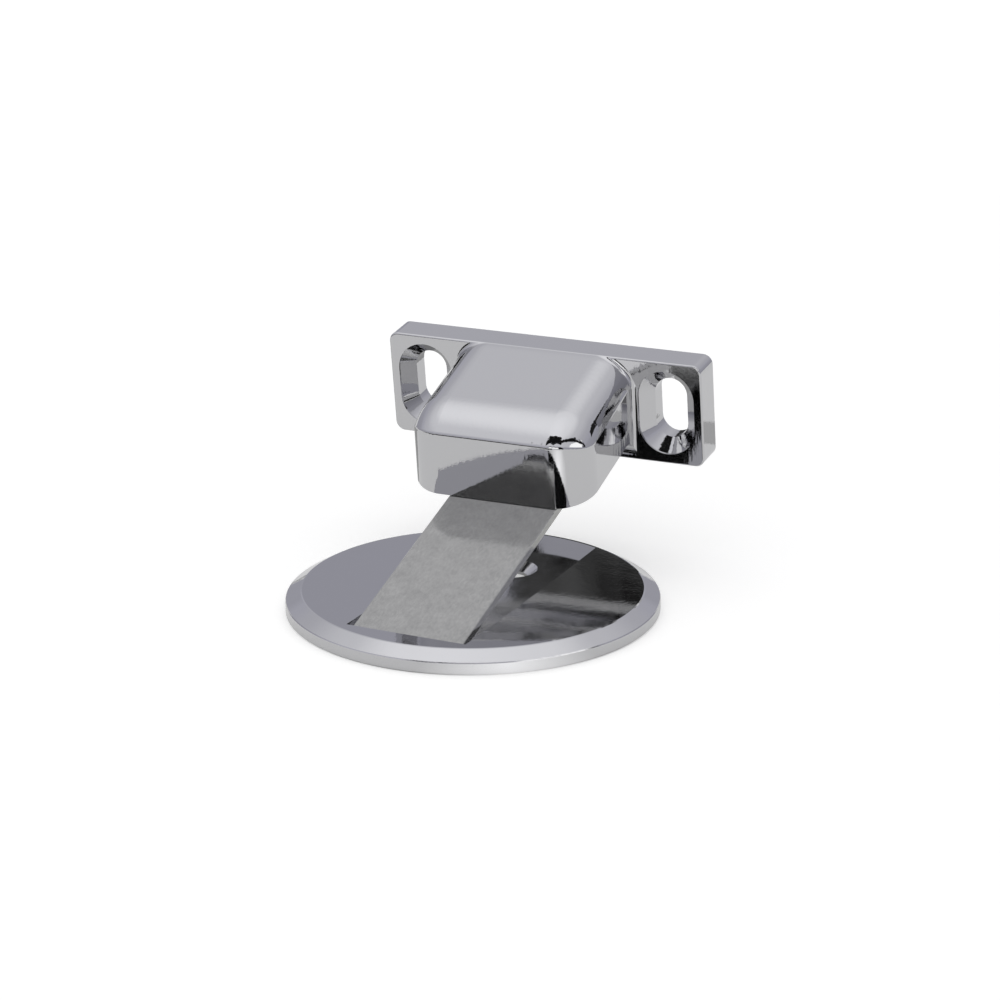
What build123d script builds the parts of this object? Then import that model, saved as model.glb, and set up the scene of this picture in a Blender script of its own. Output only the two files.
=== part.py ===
from build123d import *
import os
from math import cos, radians, sin, sqrt, tan

# Floor door holder in two units. The floor unit is a low chromed disc, screwed to the floor,
# with a steel flap hinged in a pocket of the disc. The door unit is a chromed casting, screwed
# to the foot of the door, with a magnet in its underside. The magnet lifts the flap, and the
# flap then props the door unit as a strut. The flap is drawn raised, at the magnet.
#
# Millimetres. The origin is the centre of the disc on the floor, +Z is up, and +Y points from
# the flap's hinge towards the door.

os.makedirs("parts", exist_ok=True)

# ---- floor disc ---------------------------------------------------------------------------
disc_diameter = 60.0
rim_height = 2.05
bevel_width = 2.55
crest_height = 3.5
dish_depth = 0.4
foot_chamfer = 0.3
crest_flat = 0.12         # broken corners of the crest and the rim
core_depth = 1.5          # hollows cast in the underside
core_wall = 1.9
core_rib = 1.6

# ---- flap, its pocket and its hinge -----------------------------------------------------
flap_width = 19.0
flap_thickness = 1.25
flap_edge_flat = 0.12     # broken upper edges
flap_raise = 18.07        # degrees above level, where it meets the magnet
flap_heel = 0.7           # flap that stands behind the hinge axis
flap_hinge_inset = 5.52   # from the disc's crest in to the hinge axis
pin_diameter = 1.2
pin_gap = 0.05            # running clearance round the pin
pin_seat_gap = 0.02       # round the pin in the disc's grooves
pin_cover = 0.1           # from the pin up to the flap's strip
pin_seat_length = 1.7     # pin held in the disc, at each end
ear_wall = 0.5
pocket_floor = 1.9
pocket_side_gap = 0.8
pocket_end_gap = 0.6
pocket_end_wall = 0.45    # from the crest in to the pocket's far wall
flap_lying_gap = 0.2      # between the lying flap and the pocket floor
well_gap = 0.35           # round the flap's heel as it swings

# ---- floor screw holes --------------------------------------------------------------------
floor_hole_spacing = 28.0
floor_hole_radius = 2.75
floor_head_radius = 4.4
floor_hole_land = 0.5     # straight wall below the countersink

# ---- plate that keeps the hinge pin in the disc -------------------------------------------
retainer_thickness = 0.8
retainer_width = 7.0
retainer_rim = 1.7        # disc left outside the rounded ends of the retainer
retainer_gap = 0.1
retainer_screw_inset = 2.2     # from a screw's axis to the end of the retainer
retainer_screw_gap = 0.6       # from the end of the pin to a screw's head
retainer_screw_radius = 0.95
retainer_head_radius = 1.7
retainer_screw_length = 2.5
thread_gap = 0.05

# ---- door unit: housing -------------------------------------------------------------------
plate_width = 56.2
plate_height = 17.9
plate_thickness = 5.4
plate_corner = 1.6
plate_edge_round = 0.3
body_width = 31.7
body_length = 21.92       # from the plate's front to the nose
nose_corner = 6.2
nose_draft = 1.2          # degrees, top back
nose_roll = 11.15         # radius at which the roof rolls down to the nose
nose_roll_angle = 42.0
roof_slope = 12.0         # degrees, falling towards the nose
roof_straight = 15.3      # from the plate's front to where the roll begins
roof_round = 6.4
roof_overhang = 0.25      # of the rounded roof past the walls, before they trim it
crease_round = 0.9        # where the roof meets the walls
roof_blend = 14.0         # where the roof runs into the top of the plate
underside_slope = 11.16   # degrees, falling towards the nose
underside_height = 4.37   # of the underside's plane above the plate's foot, at the plate
underside_blend = 3.0
wall_blend = 0.8          # where the body's walls meet the plate
slot_spacing = 43.5
slot_width = 5.6
slot_length = 10.5
slot_height = 9.0         # centre of the slots above the plate's foot
slot_head_depth = 2.1     # countersink, at 45 degrees
slot_lip_depth = 0.4
back_core_depth = 3.4
back_core_width = 27.0
back_wall = 1.6

# ---- door unit: magnet pack ---------------------------------------------------------------
cavity_width = 27.2
cavity_length = 14.8
cavity_depth = 8.2
cavity_corner = 4.2
nose_wall = 3.0
magnet_length = 18.0
magnet_thickness = 5.0
magnet_height = 6.0
pole_thickness = 1.5
pole_height = 6.5
pack_gap = 0.1
carrier_recess = 0.2
carrier_screw_x = 11.4
carrier_screw_radius = 1.1
carrier_head_radius = 1.8
carrier_screw_length = 11.0

# ---- how the door unit stands on the raised flap ------------------------------------------
magnet_gap = 0.1          # between the flap and the underside
door_unit_clearance = 9.17  # along the flap, from its tip to the plate
door_unit_shift = -2.06   # sideways
door_unit_turn = 1.25     # degrees, about the flap's normal

# ---- sizes worked out from the above ------------------------------------------------------
disc_radius = disc_diameter / 2
crest_radius = disc_radius - bevel_width
pin_radius = pin_diameter / 2
flap_rise = flap_thickness + pin_cover + pin_radius
flap_hinge_y = flap_hinge_inset - crest_radius
flap_hinge_z = pocket_floor + flap_lying_gap + flap_thickness - flap_rise
ear_radius = pin_radius + pin_gap + ear_wall
pocket_half_width = flap_width / 2 + pocket_side_gap
pocket_end_radius = crest_radius - pocket_end_wall
heel_reach = flap_heel * cos(radians(flap_raise)) + flap_rise * sin(radians(flap_raise))
well_front = flap_hinge_y - heel_reach - well_gap
well_back = flap_hinge_y + ear_radius + well_gap
pin_half_length = pocket_half_width + pin_seat_length
flap_reach = crest_radius - pocket_end_wall - pocket_end_gap - flap_hinge_y
door_unit_reach = flap_reach + door_unit_clearance
retainer_screw_x = pin_half_length + retainer_screw_gap + retainer_head_radius
retainer_length = 2 * (retainer_screw_x + retainer_screw_inset)
retainer_reach = disc_radius - retainer_rim
body_half_width = body_width / 2
cavity_middle = -body_length / cos(radians(underside_slope)) + nose_wall + cavity_length / 2

# ---- planes -------------------------------------------------------------------------------
hinge_side = Plane(origin=(0, flap_hinge_y, flap_hinge_z), x_dir=(0, 1, 0), z_dir=(1, 0, 0))
flap_plane = Plane(
    origin=(0, flap_hinge_y, flap_hinge_z),
    x_dir=(1, 0, 0),
    z_dir=(0, -sin(radians(flap_raise)), cos(radians(flap_raise))),
)
flap_side = Plane(origin=flap_plane.origin, x_dir=flap_plane.y_dir, z_dir=flap_plane.x_dir)

# The housing's underside lies in seat_plane, a hair above the flap. Its origin is where the
# underside would meet the front of the plate. door_frame stands the plate upright in it, with
# its origin at the middle of the plate's foot, +Y into the door and +Z up the plate.
seat_plane = Plane(
    flap_plane.location
    * Location(
        (door_unit_shift, door_unit_reach, flap_rise + magnet_gap),
        (0, 0, door_unit_turn),
    )
)
door_frame = Plane(seat_plane.location * Rotation(-underside_slope, 0, 0)).offset(-underside_height)


def door_front(depth):
    """Plane facing away from the door, this far behind the front of the plate."""
    return Plane(
        origin=door_frame.from_local_coords((0, depth, 0)),
        x_dir=door_frame.x_dir,
        z_dir=-door_frame.y_dir,
    )


door_side = Plane(origin=door_frame.origin, x_dir=door_frame.y_dir, z_dir=door_frame.x_dir)
nose_plane = Plane(door_frame.location * Location((0, -body_length, 0), (-nose_draft, 0, 0)))


def screw_outline(head_radius, shank_radius, length):
    """Half section of a countersunk screw, head first, with its axis on the sketch's Y."""
    return [
        (0, 0),
        (head_radius, 0),
        (shank_radius, head_radius - shank_radius),
        (shank_radius, length),
        (0, length),
    ]


# ---- floor disc ---------------------------------------------------------------------------
with BuildPart() as floor_disc:
    with BuildSketch(Plane.XZ) as disc_profile:
        with BuildLine():
            Polyline(
                (0, crest_height - dish_depth),
                (0, 0),
                (disc_radius - foot_chamfer, 0),
                (disc_radius, foot_chamfer),
                (disc_radius, rim_height),
                (crest_radius, crest_height),
                close=True,
            )
        make_face()
        crest_corner = disc_profile.vertices().sort_by(Axis.Y)[-1]
        rim_corner = disc_profile.vertices().group_by(Axis.X)[-1].sort_by(Axis.Y)[-1]
        chamfer([crest_corner, rim_corner], crest_flat)
    revolve(axis=Axis.Z)

    # pocket in which the flap lies, closed by an arc about the disc's own axis
    with BuildSketch(Plane.XY.offset(pocket_floor)):
        Circle(pocket_end_radius)
        with Locations((0, well_front)):
            Rectangle(
                2 * pocket_half_width,
                disc_diameter,
                align=(Align.CENTER, Align.MIN),
                mode=Mode.INTERSECT,
            )
    extrude(amount=crest_height, mode=Mode.SUBTRACT)

    # well for the flap's heel and ears, right through the disc
    with BuildSketch(Plane.XY):
        with Locations((0, (well_front + well_back) / 2)):
            Rectangle(2 * pocket_half_width, well_back - well_front)
    extrude(amount=crest_height, mode=Mode.SUBTRACT)

    # countersunk holes for the floor screws
    with BuildSketch(Plane.XY):
        with GridLocations(0, floor_hole_spacing, 1, 2):
            Circle(floor_hole_radius)
    extrude(amount=pocket_floor, mode=Mode.SUBTRACT)
    for side in (-1, 1):
        with BuildSketch(Plane((0, side * floor_hole_spacing / 2, floor_hole_land))):
            Circle(floor_hole_radius)
        with BuildSketch(Plane((0, side * floor_hole_spacing / 2, pocket_floor))):
            Circle(floor_head_radius)
        loft(mode=Mode.SUBTRACT)

    # hollows in the underside, each side of the pocket, parted by a rib
    with BuildSketch(Plane.XY):
        Circle(crest_radius - core_wall)
        Rectangle(2 * (pocket_half_width + core_wall), disc_diameter, mode=Mode.SUBTRACT)
        Rectangle(disc_diameter, core_rib, mode=Mode.SUBTRACT)
        with Locations((0, flap_hinge_y)):
            Rectangle(disc_diameter, retainer_width + 2 * core_wall, mode=Mode.SUBTRACT)
    extrude(amount=core_depth, mode=Mode.SUBTRACT)

    # seat of the retainer, grooves for the pin's ends and pilot holes for the screws
    with BuildSketch(Plane.XY):
        with Locations((0, flap_hinge_y)):
            Rectangle(retainer_length + 2 * retainer_gap, retainer_width + 2 * retainer_gap)
        Circle(retainer_reach + retainer_gap, mode=Mode.INTERSECT)
    extrude(amount=retainer_thickness, mode=Mode.SUBTRACT)
    with BuildSketch(hinge_side):
        Circle(pin_radius + pin_seat_gap)
        with Locations((0, -pin_radius)):
            Rectangle(pin_diameter + 2 * pin_seat_gap, pin_diameter)
    extrude(amount=pin_half_length, both=True, mode=Mode.SUBTRACT)
    with BuildSketch(Plane.XY):
        with Locations((0, flap_hinge_y)):
            with GridLocations(2 * retainer_screw_x, 0, 2, 1):
                Circle(retainer_screw_radius + thread_gap)
    extrude(amount=retainer_screw_length + thread_gap, mode=Mode.SUBTRACT)
floor_disc.part.label = "floor_disc"
export_step(floor_disc.part, "parts/floor_disc.step")

# ---- flap: a steel strip with two ears turned down round the hinge pin --------------------
with BuildPart() as flap:
    with BuildSketch(flap_plane.offset(flap_rise - flap_thickness)):
        with Locations((0, -flap_hinge_y)):
            Circle(pocket_end_radius - pocket_end_gap)
        with Locations((0, -flap_heel)):
            Rectangle(
                flap_width,
                disc_diameter,
                align=(Align.CENTER, Align.MIN),
                mode=Mode.INTERSECT,
            )
    extrude(amount=flap_thickness)
    flap_up = Axis(flap_plane.origin, flap_plane.z_dir)
    chamfer(flap.faces().sort_by(flap_up)[-1].edges(), flap_edge_flat)
    for side in (-1, 1):
        ear_middle = side * (flap_width - flap_thickness) / 2
        with BuildSketch(flap_side.offset(ear_middle)):
            Circle(ear_radius)
            with Locations(((ear_radius - flap_heel) / 2, 0)):
                Rectangle(
                    ear_radius + flap_heel,
                    flap_rise - flap_thickness,
                    align=(Align.CENTER, Align.MIN),
                )
        extrude(amount=flap_thickness / 2, both=True)
    with BuildSketch(flap_side):
        Circle(pin_radius + pin_gap)
    extrude(amount=flap_width, both=True, mode=Mode.SUBTRACT)
flap.part.label = "flap"
export_step(flap.part, "parts/flap.step")

# ---- hinge pin, laid in its grooves from below --------------------------------------------
with BuildPart() as hinge_pin:
    with BuildSketch(hinge_side):
        Circle(pin_radius)
    extrude(amount=pin_half_length, both=True)
    chamfer(hinge_pin.edges().filter_by(GeomType.CIRCLE), pin_radius / 4)
hinge_pin.part.label = "hinge_pin"
export_step(hinge_pin.part, "parts/hinge_pin.step")

# ---- retainer: a flat steel plate under the pin, cut out for the flap's ears ---------------
with BuildPart() as pin_retainer:
    with BuildSketch(Plane.XY):
        with Locations((0, flap_hinge_y)):
            Rectangle(retainer_length, retainer_width)
        Circle(retainer_reach, mode=Mode.INTERSECT)
        with Locations((0, flap_hinge_y)):
            with GridLocations(flap_width - flap_thickness, 0, 2, 1):
                Rectangle(
                    flap_thickness + 2 * pocket_side_gap,
                    2 * (ear_radius + well_gap),
                    mode=Mode.SUBTRACT,
                )
    extrude(amount=retainer_thickness)
    for side in (-1, 1):
        hole = Plane((side * retainer_screw_x, flap_hinge_y, 0))
        with BuildSketch(hole):
            Circle(retainer_head_radius + thread_gap)
        with BuildSketch(hole.offset(retainer_thickness)):
            Circle(retainer_head_radius + thread_gap - retainer_thickness + thread_gap)
        loft(mode=Mode.SUBTRACT)
pin_retainer.part.label = "pin_retainer"
export_step(pin_retainer.part, "parts/pin_retainer.step")

with BuildPart() as retainer_screws:
    for side in (-1, 1):
        head_centre = (side * retainer_screw_x, flap_hinge_y, 0)
        with BuildSketch(Plane(origin=head_centre, x_dir=(1, 0, 0), z_dir=(0, -1, 0))):
            with BuildLine():
                Polyline(
                    screw_outline(retainer_head_radius, retainer_screw_radius, retainer_screw_length),
                    close=True,
                )
            make_face()
        revolve(axis=Axis(head_centre, (0, 0, 1)))
retainer_screws.part.label = "retainer_screws"
export_step(retainer_screws.part, "parts/retainer_screws.step")

# ---- body of the door unit's casting, joined to the plate further down ---------------------
roof_tangent = (-cos(radians(roof_slope)), -sin(radians(roof_slope)))
roof_end = (-roof_straight, plate_height - roof_straight * tan(radians(roof_slope)))
underside_fall = tan(radians(underside_slope))

with BuildPart() as door_body:
    with BuildSketch(door_side) as side_view:
        with BuildLine():
            roll = JernArc(start=roof_end, tangent=roof_tangent, radius=nose_roll, arc_size=nose_roll_angle)
            run_out = Line(roll @ 1, (roll @ 1) + (roll % 1) * nose_corner)
            nose_foot = (run_out @ 1).X
            Polyline(
                run_out @ 1,
                (nose_foot, underside_height + nose_foot * underside_fall),
                (0, underside_height),
                (0, plate_edge_round),
                (plate_thickness / 2, plate_edge_round),
                (plate_thickness / 2, plate_height),
                (0, plate_height),
                roll @ 0,
            )
        make_face()
        inner_corner = side_view.vertices().sort_by_distance((0, underside_height))[0]
        fillet(inner_corner, underside_blend)
        top_corner = side_view.vertices().sort_by_distance((0, plate_height))[0]
        fillet(top_corner, roof_blend)
    extrude(amount=body_half_width + roof_overhang, both=True)
    body_sides = door_body.faces().filter_by(door_side)
    roof_faces = door_body.faces().filter_by(lambda face: face.normal_at().dot(door_frame.z_dir) > 0.1)
    fillet(roof_faces.edges() & body_sides.edges(), roof_round)

    with BuildSketch(nose_plane) as plan_view:
        Rectangle(body_width, body_length + plate_thickness, align=(Align.CENTER, Align.MIN))
        fillet(plan_view.vertices().group_by(Axis.Y)[0], nose_corner)
    extrude(amount=2 * plate_height, both=True, mode=Mode.INTERSECT)
    roof_faces = door_body.faces().filter_by(lambda face: face.normal_at().dot(door_frame.z_dir) > 0.1)
    walls = door_body.faces().filter_by(
        lambda face: abs(face.normal_at().dot(door_frame.z_dir)) < 0.1
        and face.normal_at().dot(door_frame.y_dir) < 0.5
    )
    fillet(roof_faces.edges() & walls.edges(), crease_round)

# ---- door unit's casting: the plate with its body, slots and hollows -----------------------
with BuildPart() as door_housing:
    with BuildSketch(door_front(plate_thickness)):
        with Locations((0, plate_height / 2)):
            RectangleRounded(plate_width, plate_height, plate_corner)
    extrude(amount=plate_thickness)
    plate_front = door_housing.faces().sort_by(Axis(door_frame.origin, door_frame.y_dir))[0]
    fillet(plate_front.edges(), plate_edge_round)
    add(door_body.part)
    wall_feet = ShapeList()
    for side in (-1, 1):
        wall_foot = door_frame.from_local_coords((side * body_half_width, 0, plate_height / 2))
        wall_feet.append(door_housing.edges().sort_by_distance(wall_foot)[0])
    fillet(wall_feet, wall_blend)

    # slots for the door screws, countersunk
    for side in (-1, 1):
        slot_centre = Location((side * slot_spacing / 2, slot_height))
        with BuildSketch(door_front(plate_thickness)):
            with Locations(slot_centre):
                SlotOverall(slot_length, slot_width, rotation=90)
        extrude(amount=plate_thickness, mode=Mode.SUBTRACT)
        with BuildSketch(door_front(slot_lip_depth)):
            with Locations(slot_centre):
                SlotOverall(
                    slot_length + 2 * slot_head_depth, slot_width + 2 * slot_head_depth, rotation=90
                )
        extrude(amount=slot_lip_depth, mode=Mode.SUBTRACT)
        with BuildSketch(door_front(slot_lip_depth)):
            with Locations(slot_centre):
                SlotOverall(
                    slot_length + 2 * slot_head_depth, slot_width + 2 * slot_head_depth, rotation=90
                )
        with BuildSketch(door_front(slot_lip_depth + slot_head_depth)):
            with Locations(slot_centre):
                SlotOverall(slot_length, slot_width, rotation=90)
        loft(mode=Mode.SUBTRACT)

    # hollow in the back of the plate, behind the body
    with BuildSketch(door_front(plate_thickness)):
        with Locations((0, plate_height / 2)):
            RectangleRounded(back_core_width, plate_height - 2 * back_wall, plate_corner)
    extrude(amount=back_core_depth, mode=Mode.SUBTRACT)

    # cavity for the magnet pack, open in the underside
    with BuildSketch(seat_plane):
        with Locations((0, cavity_middle)):
            RectangleRounded(cavity_width, cavity_length, cavity_corner)
    extrude(amount=cavity_depth, mode=Mode.SUBTRACT)
    with BuildSketch(seat_plane):
        with Locations((0, cavity_middle)):
            with GridLocations(2 * carrier_screw_x, 0, 2, 1):
                Circle(carrier_screw_radius + thread_gap)
    extrude(amount=carrier_recess + carrier_screw_length + thread_gap, mode=Mode.SUBTRACT)
door_housing.part.label = "door_housing"
export_step(door_housing.part, "parts/door_housing.step")

# ---- plastic carrier that fills the cavity and holds the magnet pack -----------------------
pack_thickness = magnet_thickness + 2 * pole_thickness
with BuildPart() as magnet_carrier:
    with BuildSketch(seat_plane.offset(carrier_recess)):
        with Locations((0, cavity_middle)):
            RectangleRounded(
                cavity_width - 2 * pack_gap, cavity_length - 2 * pack_gap, cavity_corner - pack_gap
            )
    extrude(amount=cavity_depth - carrier_recess)
    with BuildSketch(seat_plane):
        with Locations((0, cavity_middle)):
            Rectangle(magnet_length + 2 * pack_gap, pack_thickness)
    extrude(amount=pole_height, mode=Mode.SUBTRACT)
    for side in (-1, 1):
        hole_at = (side * carrier_screw_x, cavity_middle)
        with BuildSketch(seat_plane):
            with Locations(hole_at):
                Circle(carrier_screw_radius + pack_gap)
        extrude(amount=cavity_depth, mode=Mode.SUBTRACT)
        with BuildSketch(seat_plane.offset(carrier_recess)):
            with Locations(hole_at):
                Circle(carrier_head_radius)
        with BuildSketch(seat_plane.offset(carrier_recess + carrier_head_radius - carrier_screw_radius)):
            with Locations(hole_at):
                Circle(carrier_screw_radius)
        loft(mode=Mode.SUBTRACT)
magnet_carrier.part.label = "magnet_carrier"
export_step(magnet_carrier.part, "parts/magnet_carrier.step")

with BuildPart() as magnet:
    with BuildSketch(seat_plane.offset(pole_height - magnet_height)):
        with Locations((0, cavity_middle)):
            Rectangle(magnet_length, magnet_thickness)
    extrude(amount=magnet_height)
magnet.part.label = "magnet"
export_step(magnet.part, "parts/magnet.step")

with BuildPart() as pole_plates:
    with BuildSketch(seat_plane):
        with Locations((0, cavity_middle)):
            with GridLocations(0, magnet_thickness + pole_thickness, 1, 2):
                Rectangle(magnet_length, pole_thickness)
    extrude(amount=pole_height)
pole_plates.part.label = "pole_plates"
export_step(pole_plates.part, "parts/pole_plates.step")

with BuildPart() as carrier_screws:
    for side in (-1, 1):
        head_centre = seat_plane.from_local_coords(
            (side * carrier_screw_x, cavity_middle, carrier_recess)
        )
        with BuildSketch(
            Plane(origin=head_centre, x_dir=seat_plane.x_dir, z_dir=-seat_plane.y_dir)
        ):
            with BuildLine():
                Polyline(
                    screw_outline(carrier_head_radius, carrier_screw_radius, carrier_screw_length),
                    close=True,
                )
            make_face()
        revolve(axis=Axis(head_centre, seat_plane.z_dir))
carrier_screws.part.label = "carrier_screws"
export_step(carrier_screws.part, "parts/carrier_screws.step")
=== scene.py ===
import math

import bpy
from mathutils import Matrix, Vector

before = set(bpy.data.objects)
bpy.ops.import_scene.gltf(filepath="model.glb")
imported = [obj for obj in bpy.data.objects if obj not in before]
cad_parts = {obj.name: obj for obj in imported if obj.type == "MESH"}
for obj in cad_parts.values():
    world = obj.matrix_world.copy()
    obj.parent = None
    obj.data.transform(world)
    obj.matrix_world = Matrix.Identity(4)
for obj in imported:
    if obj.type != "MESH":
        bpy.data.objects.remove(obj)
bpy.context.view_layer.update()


# ---- node helpers --------------------------------------------------------------------------
class Finish:
    """A new material with short ways to add and join its nodes."""

    def __init__(self, name):
        self.material = bpy.data.materials.new(name)
        self.material.use_nodes = True
        self.tree = self.material.node_tree
        self.tree.nodes.clear()
        self.output = self.tree.nodes.new("ShaderNodeOutputMaterial")

    def add(self, kind, **settings):
        node = self.tree.nodes.new(kind)
        for name, value in settings.items():
            setattr(node, name, value)
        return node

    def join(self, source, target):
        self.tree.links.new(source, target)

    def feed(self, value, target):
        """Sets an input to a number, or joins it to another node."""
        if isinstance(value, (int, float)):
            target.default_value = value
        else:
            self.join(value, target)

    def principled(self, colour, metallic, roughness):
        """A metal or plastic surface, with the plain values that its nodes then vary."""
        shader = self.add("ShaderNodeBsdfPrincipled")
        shader.inputs["Base Color"].default_value = (*colour, 1)
        shader.inputs["Metallic"].default_value = metallic
        shader.inputs["Roughness"].default_value = roughness
        self.join(shader.outputs["BSDF"], self.output.inputs["Surface"])
        return shader

    def own_place(self):
        """The piece's own coordinates, in metres."""
        return self.add("ShaderNodeTexCoord").outputs["Object"]

    def noise(self, scale, detail, stretch=(1, 1, 1)):
        """Noise on the piece's own coordinates, finer along an axis with a larger stretch."""
        mapping = self.add("ShaderNodeMapping")
        mapping.inputs["Scale"].default_value = stretch
        noise = self.add("ShaderNodeTexNoise")
        noise.inputs["Scale"].default_value = scale
        noise.inputs["Detail"].default_value = detail
        self.join(self.own_place(), mapping.inputs["Vector"])
        self.join(mapping.outputs["Vector"], noise.inputs["Vector"])
        return noise.outputs["Fac"]

    def spread(self, source, low, high, from_low=0.3, from_high=0.7):
        """A value brought between low and high, from the range that noise mostly keeps to."""
        node = self.add("ShaderNodeMapRange")
        node.inputs["From Min"].default_value = from_low
        node.inputs["From Max"].default_value = from_high
        node.inputs["To Min"].default_value = low
        node.inputs["To Max"].default_value = high
        self.join(source, node.inputs["Value"])
        return node.outputs["Result"]

    def blend_colours(self, factor, first, second):
        node = self.add("ShaderNodeMix", data_type="RGBA")
        node.inputs["A"].default_value = (*first, 1)
        node.inputs["B"].default_value = (*second, 1)
        self.join(factor, node.inputs["Factor"])
        return node.outputs["Result"]

    def choose(self, measure, test, limit, met, otherwise):
        """One value where the measure meets the test, and another where it doesn't."""
        step = self.add("ShaderNodeMath", operation=test)
        step.inputs[1].default_value = limit
        pick = self.add("ShaderNodeMix", data_type="FLOAT")
        self.join(measure, step.inputs[0])
        self.join(step.outputs[0], pick.inputs["Factor"])
        self.feed(otherwise, pick.inputs["A"])
        self.feed(met, pick.inputs["B"])
        return pick.outputs["Result"]

    def below(self, height, under, over):
        """One value under a height of the piece, and another over it."""
        parts = self.add("ShaderNodeSeparateXYZ")
        self.join(self.own_place(), parts.inputs["Vector"])
        return self.choose(parts.outputs["Z"], "LESS_THAN", height, under, over)

    def beyond(self, radius, outside, inside):
        """One value past a radius from the piece's upright axis, and another inside it."""
        flat = self.add("ShaderNodeVectorMath", operation="MULTIPLY")
        flat.inputs[1].default_value = (1, 1, 0)
        length = self.add("ShaderNodeVectorMath", operation="LENGTH")
        self.join(self.own_place(), flat.inputs[0])
        self.join(flat.outputs["Vector"], length.inputs[0])
        return self.choose(length.outputs["Value"], "GREATER_THAN", radius, outside, inside)

    def bump(self, height, distance, strength=1.0, under=None):
        """Bumps of a depth in metres, on top of the bumps under them."""
        node = self.add("ShaderNodeBump")
        node.inputs["Distance"].default_value = distance
        self.feed(strength, node.inputs["Strength"])
        self.join(height, node.inputs["Height"])
        if under is not None:
            self.join(under, node.inputs["Normal"])
        return node.outputs["Normal"]


# ---- finishes ------------------------------------------------------------------------------
pocket_floor_top = 0.00195      # the disc's cast pocket floor lies below this height
disc_side_radius = 0.0297       # the disc's turned side lies beyond this radius
chrome_grain_depth = 0.000008


def polished_chrome(name, streaks, swells, cast_below=None, turned_beyond=None):
    """Bright chrome with faint upright polishing streaks and broad swells, by their depths.

    A round piece may have a duller cast floor below a height, and a turned side with coarser
    marks beyond a radius.
    """
    f = Finish(name)
    shader = f.principled((0.56, 0.56, 0.57), metallic=1.0, roughness=0.04)
    haze = f.spread(f.noise(scale=90, detail=3), 0.02, 0.06)
    grain_strength = 0.2
    if cast_below is not None:
        cast_haze = f.spread(f.noise(scale=400, detail=4), 0.06, 0.12)
        turned_haze = f.spread(f.noise(scale=900, detail=3, stretch=(1, 1, 6)), 0.08, 0.20)
        haze = f.beyond(turned_beyond, turned_haze, f.below(cast_below, cast_haze, haze))
        grain_strength = f.beyond(turned_beyond, 1.0, f.below(cast_below, 0.25, 0.1))
    f.join(haze, shader.inputs["Roughness"])
    waves = f.bump(f.noise(scale=130, detail=2), swells)
    lines = f.bump(f.noise(scale=1700, detail=2, stretch=(1, 1, 0.12)), streaks, under=waves)
    grain = f.noise(scale=3800, detail=2)
    skin = f.bump(grain, chrome_grain_depth, grain_strength, under=lines)
    f.join(skin, shader.inputs["Normal"])
    return f.material


def brushed_flap_steel():
    """Steel brushed along its length, with faint clouds."""
    f = Finish("brushed_flap_steel")
    shader = f.principled((0.37, 0.37, 0.37), metallic=0.8, roughness=0.2)
    grain = f.noise(scale=2600, detail=4, stretch=(1, 0.35, 1))
    cloud = f.spread(f.noise(scale=420, detail=5), 0.1, 0.3)
    grain_share = 0.6
    tone = f.add("ShaderNodeMath", operation="MULTIPLY_ADD")
    tone.inputs[1].default_value = grain_share
    f.join(grain, tone.inputs[0])
    f.join(cloud, tone.inputs[2])
    shade = f.spread(tone.outputs[0], 0, 1)
    colour = f.blend_colours(shade, (0.35, 0.35, 0.338), (0.465, 0.465, 0.446))
    f.join(colour, shader.inputs["Base Color"])
    f.join(f.spread(grain, 0.08, 0.13), shader.inputs["Roughness"])
    f.join(f.bump(grain, distance=0.000004, strength=0.7), shader.inputs["Normal"])
    return f.material


def ground_pin_steel():
    """Steel ground along the pin."""
    f = Finish("ground_pin_steel")
    shader = f.principled((0.52, 0.52, 0.52), metallic=1.0, roughness=0.22)
    scratches = f.noise(scale=1500, detail=2, stretch=(1, 8, 8))
    f.join(f.spread(scratches, 0.18, 0.32), shader.inputs["Roughness"])
    return f.material


def zinc_plate():
    f = Finish("zinc_plate")
    shader = f.principled((0.5, 0.51, 0.54), metallic=1.0, roughness=0.35)
    patches = f.noise(scale=300, detail=4)
    shade = f.spread(patches, 0, 1)
    colour = f.blend_colours(shade, (0.45, 0.46, 0.50), (0.56, 0.57, 0.58))
    f.join(colour, shader.inputs["Base Color"])
    f.join(f.spread(patches, 0.28, 0.42), shader.inputs["Roughness"])
    return f.material


def moulded_black_plastic():
    f = Finish("moulded_black_plastic")
    shader = f.principled((0.025, 0.025, 0.027), metallic=0.0, roughness=0.5)
    spark = f.noise(scale=2500, detail=3)
    f.join(f.spread(spark, 0.42, 0.6), shader.inputs["Roughness"])
    f.join(f.bump(spark, distance=0.00004, strength=0.5), shader.inputs["Normal"])
    return f.material


def magnet_nickel():
    f = Finish("magnet_nickel")
    shader = f.principled((0.50, 0.48, 0.44), metallic=1.0, roughness=0.25)
    patches = f.noise(scale=700, detail=3)
    f.join(f.spread(patches, 0.2, 0.34), shader.inputs["Roughness"])
    return f.material


disc_chrome = polished_chrome(
    "disc_chrome",
    streaks=0.000005,
    swells=0.00002,
    cast_below=pocket_floor_top,
    turned_beyond=disc_side_radius,
)
housing_chrome = polished_chrome("housing_chrome", streaks=0.000009, swells=0.00001)
flap_steel = brushed_flap_steel()
pin_steel = ground_pin_steel()
zinc = zinc_plate()
plastic = moulded_black_plastic()
nickel = magnet_nickel()

finish_of_node = {
    "floor_disc": disc_chrome,
    "door_housing": housing_chrome,
    "flap": flap_steel,
    "hinge_pin": pin_steel,
    "pin_retainer": zinc,
    "retainer_screws": zinc,
    "carrier_screws": zinc,
    "pole_plates": zinc,
    "magnet_carrier": plastic,
    "magnet": nickel,
}
for node_name, finish in finish_of_node.items():
    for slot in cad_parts[node_name].material_slots:
        slot.material = finish


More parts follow.
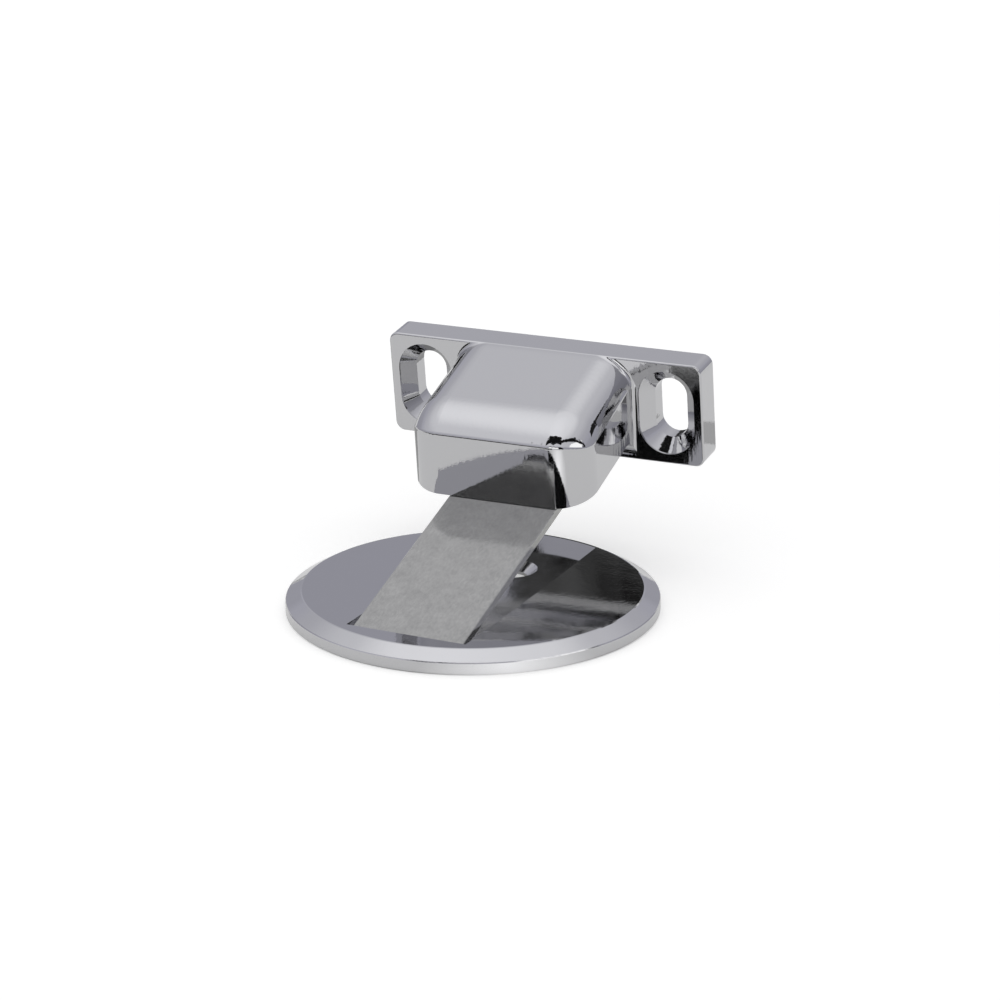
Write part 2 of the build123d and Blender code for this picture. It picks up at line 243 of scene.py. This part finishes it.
# ---- floor, light tent and panels ----------------------------------------------------------
floor_reach = 3.0
floor_colour = (0.78, 0.78, 0.745)
floor_lift = 0.40               # the floor's own light near the object, as the camera sees it
far_floor_lift = 0.95           # keeps the far floor as white as the surround
far_floor_start = 0.30
far_floor_end = 1.20
mirrored_floor_lift = 0.18      # the same as the chrome mirrors it
painted_light_patch_lift = 0.85        # and a painted pool of light in a patch beside the disc's front edge, seen only in mirrors
painted_light_patch_centre = (0.021, -0.027)
painted_light_patch_reach = 0.017

tent_radius = 2.0
tent_levels = [                 # height on the dome, brightness, share of blue
    (0.0, 0.42, 1.12),
    (0.25, 0.47, 1.12),
    (0.36, 0.55, 1.12),
    (0.50, 0.60, 1.08),
    (0.77, 0.78, 1.05),
    (0.93, 1.08, 1.03),
    (1.0, 1.14, 1.03),
]
soft_lamp_direction = (-0.50, -0.55, 0.67)
soft_lamp_reach = 62            # degrees from its middle to where it has faded
soft_lamp_core = 12
soft_lamp_level = 0.12


def mesh_piece(name, points, faces):
    mesh = bpy.data.meshes.new(name)
    mesh.from_pydata(points, [], faces)
    mesh.update()
    piece = bpy.data.objects.new(name, mesh)
    bpy.context.scene.collection.objects.link(piece)
    return piece


def make_floor():
    """A white floor with light of its own, one amount for the camera and one for mirrors, and a
    painted pool of light beside the disc's front edge that only mirrors see.
    """
    r = floor_reach
    floor = mesh_piece("floor", [(-r, -r, 0), (r, -r, 0), (r, r, 0), (-r, r, 0)], [(0, 1, 2, 3)])
    f = Finish("white_floor")
    place = f.own_place()
    path = f.add("ShaderNodeLightPath")

    # painted light: a bright pool on the floor beside the disc's front edge, which only the chrome
    # mirrors
    from_painted_light_patch = f.add("ShaderNodeVectorMath", operation="DISTANCE")
    from_painted_light_patch.inputs[1].default_value = (*painted_light_patch_centre, 0)
    f.join(place, from_painted_light_patch.inputs[0])
    mirrored_lift_and_painted_light = f.spread(
        from_painted_light_patch.outputs["Value"], painted_light_patch_lift, mirrored_floor_lift, 0, painted_light_patch_reach
    )
    mirrored = f.add("ShaderNodeMath", operation="MULTIPLY")
    f.join(path.outputs["Is Glossy Ray"], mirrored.inputs[0])
    f.join(mirrored_lift_and_painted_light, mirrored.inputs[1])

    from_object = f.add("ShaderNodeVectorMath", operation="LENGTH")
    f.join(place, from_object.inputs[0])
    seen_lift = f.spread(
        from_object.outputs["Value"], floor_lift, far_floor_lift, far_floor_start, far_floor_end
    )
    seen_or_mirrored = f.add("ShaderNodeMath", operation="MULTIPLY_ADD")
    f.join(path.outputs["Is Camera Ray"], seen_or_mirrored.inputs[0])
    f.join(seen_lift, seen_or_mirrored.inputs[1])
    f.join(mirrored.outputs[0], seen_or_mirrored.inputs[2])

    paint = f.add("ShaderNodeBsdfDiffuse")
    paint.inputs["Color"].default_value = (*floor_colour, 1)
    glow = f.add("ShaderNodeEmission")
    f.join(seen_or_mirrored.outputs[0], glow.inputs["Strength"])
    both = f.add("ShaderNodeAddShader")
    f.join(paint.outputs[0], both.inputs[0])
    f.join(glow.outputs[0], both.inputs[1])
    f.join(both.outputs[0], f.output.inputs["Surface"])
    floor.data.materials.append(f.material)


def make_tent():
    """A dome of white cloth round the object, brightest overhead, with one soft lamp."""
    bpy.ops.mesh.primitive_uv_sphere_add(segments=96, ring_count=48, radius=tent_radius)
    tent = bpy.context.object
    tent.name = "light_tent"
    tent.visible_camera = False
    tent.visible_shadow = False
    f = Finish("tent_cloth")
    direction = f.add("ShaderNodeVectorMath", operation="NORMALIZE")
    f.join(f.own_place(), direction.inputs[0])

    parts = f.add("ShaderNodeSeparateXYZ")
    f.join(direction.outputs[0], parts.inputs[0])
    cloth = f.add("ShaderNodeValToRGB")
    ramp = cloth.color_ramp
    ramp.interpolation = "EASE"
    while len(ramp.elements) < len(tent_levels):
        ramp.elements.new(0.5)
    for element, (height, level, blue) in zip(ramp.elements, tent_levels):
        element.position = height
        element.color = (level, level, level * blue, 1)
    f.join(parts.outputs["Z"], cloth.inputs["Fac"])

    towards_lamp = f.add("ShaderNodeVectorMath", operation="DOT_PRODUCT")
    towards_lamp.inputs[1].default_value = Vector(soft_lamp_direction).normalized()
    f.join(direction.outputs[0], towards_lamp.inputs[0])
    lamp = f.add("ShaderNodeMapRange", interpolation_type="SMOOTHSTEP")
    lamp.inputs["From Min"].default_value = math.cos(math.radians(soft_lamp_reach))
    lamp.inputs["From Max"].default_value = math.cos(math.radians(soft_lamp_core))
    lamp.inputs["To Max"].default_value = soft_lamp_level
    f.join(towards_lamp.outputs["Value"], lamp.inputs["Value"])

    total = f.add("ShaderNodeMix", data_type="RGBA", blend_type="ADD", clamp_result=False)
    total.inputs["Factor"].default_value = 1.0
    f.join(cloth.outputs["Color"], total.inputs["A"])
    f.join(lamp.outputs["Result"], total.inputs["B"])
    glow = f.add("ShaderNodeEmission")
    f.join(total.outputs["Result"], glow.inputs["Color"])
    f.join(glow.outputs[0], f.output.inputs["Surface"])
    tent.data.materials.clear()
    tent.data.materials.append(f.material)


def make_panel(name, left, right, rise, level, mottle=0.0, blue=1.0):
    """A flat panel that rises from two foot corners, seen only in mirrors.

    Its brightness may vary by a share of its level.
    """
    panel = mesh_piece(
        name,
        [left, right, tuple(Vector(right) + Vector(rise)), tuple(Vector(left) + Vector(rise))],
        [(0, 1, 2, 3)],
    )
    panel.visible_camera = False
    panel.visible_diffuse = False
    panel.visible_shadow = False
    f = Finish(name + "_face")
    glow = f.add("ShaderNodeEmission")
    glow.inputs["Color"].default_value = (1, 1, blue, 1)
    glow.inputs["Strength"].default_value = level
    if mottle:
        clouds = f.noise(scale=90, detail=4)
        darkest = level * (1 - mottle)
        brightest = level * (1 + mottle)
        cloth = f.spread(clouds, darkest, brightest, from_low=0.35, from_high=0.65)
        f.join(cloth, glow.inputs["Strength"])
    f.join(glow.outputs[0], f.output.inputs["Surface"])
    panel.data.materials.append(f.material)


def make_world():
    world = bpy.data.worlds.new("white_surround")
    bpy.context.scene.world = world
    world.use_nodes = True
    background = world.node_tree.nodes["Background"]
    background.inputs["Color"].default_value = (1, 1, 1, 1)
    background.inputs["Strength"].default_value = 1.0


make_floor()
make_tent()
make_world()

# a lamp in front of the object, with a dark flag beside it and two above it
front_y = -0.30
low = 0.001                     # panels this low stand or lie on the floor
make_panel("front_lamp", (-0.05, front_y, 0.028), (0.140, front_y, 0.028), (0, 0, 0.120), 1.5)
make_panel("low_flag", (0.141, front_y, low), (0.240, front_y, low), (0, 0, 0.160), 0.01)
make_panel("front_flag", (-0.07, front_y, 0.150), (0.230, front_y, 0.166), (0, 0, 0.057), 0.004)
make_panel("high_flag", (-0.187, front_y, 0.37), (0.21, front_y, 0.47), (0, 0, 0.28), 0.01)

# a lamp high on the right, with two dark flags nearer in
make_panel("high_side_flag", (0.169, -0.241, 0.400), (0.394, 0.0, 0.308), (-0.02, 0, 0.075), 0.01)
make_panel("side_flag", (0.397, 0.0, 0.308), (0.457, 0.157, 0.129), (-0.01, 0, 0.045), 0.02)
make_panel("side_lamp", (0.408, -0.285, 0.336), (0.544, 0.116, 0.225), (-0.02, 0, 0.110), 1.6)

# a dark flag that lies on the floor in front, and two sheets of painted shade on the floor nearer the
# object, seen only in mirrors
make_panel("front_floor_flag", (-0.35, -0.06, low), (0.01, -0.06, low), (0, -0.24, 0), 0.02)
# painted shadow of the door unit on the floor behind the disc, as the chrome mirrors it
make_panel("painted_shadow_floor_sheet", (-0.15, 0.034, low), (0.0, 0.034, low), (0, 0.14, 0), 0.40)
# painted shade on the floor near the object, as the door housing's end face mirrors it
make_panel("painted_shade_end_sheet", (0.040, 0.094, low), (0.054, 0.094, low), (0, 0.013, 0), 0.52)

# flags that stand behind the object
back_y = 0.20
pale_y = 0.201                  # just behind the others
make_panel("back_flag", (-0.090, back_y, 0.03), (-0.03, back_y, 0.03), (0, 0, 0.08), 0.045, mottle=0.9)
make_panel("pale_flag", (-0.18, pale_y, 0.03), (-0.0905, pale_y, 0.03), (0, 0, 0.08), 0.43, blue=1.13)
make_panel("back_right_flag", (0.15, back_y, 0.10), (0.26, back_y, 0.10), (0, 0, 0.055), 0.02)


# ---- camera --------------------------------------------------------------------------------
camera_azimuth = math.radians(25.81)
camera_elevation = math.radians(18.705)
camera_roll = math.radians(-0.325)
camera_aim = Vector((0.00158, 0.00683, 0.01614))
camera_distance = 0.52547
camera_lens = 118.09
camera_sensor = 36.0


def make_camera():
    data = bpy.data.cameras.new("camera")
    data.sensor_width = camera_sensor
    data.lens = camera_lens
    data.clip_start = 0.01
    camera = bpy.data.objects.new("camera", data)
    bpy.context.scene.collection.objects.link(camera)
    level = math.cos(camera_elevation)
    back = Vector((
        math.sin(camera_azimuth) * level,
        -math.cos(camera_azimuth) * level,
        math.sin(camera_elevation),
    ))
    right = Vector((math.cos(camera_azimuth), math.sin(camera_azimuth), 0))
    up = back.cross(right)
    turned_right = right * math.cos(camera_roll) + up * math.sin(camera_roll)
    turned_up = -right * math.sin(camera_roll) + up * math.cos(camera_roll)
    place = Matrix((turned_right, turned_up, back)).transposed().to_4x4()
    place.translation = camera_aim + back * camera_distance
    camera.matrix_world = place
    bpy.context.scene.camera = camera


make_camera()
bpy.context.scene.view_settings.view_transform = "Standard"
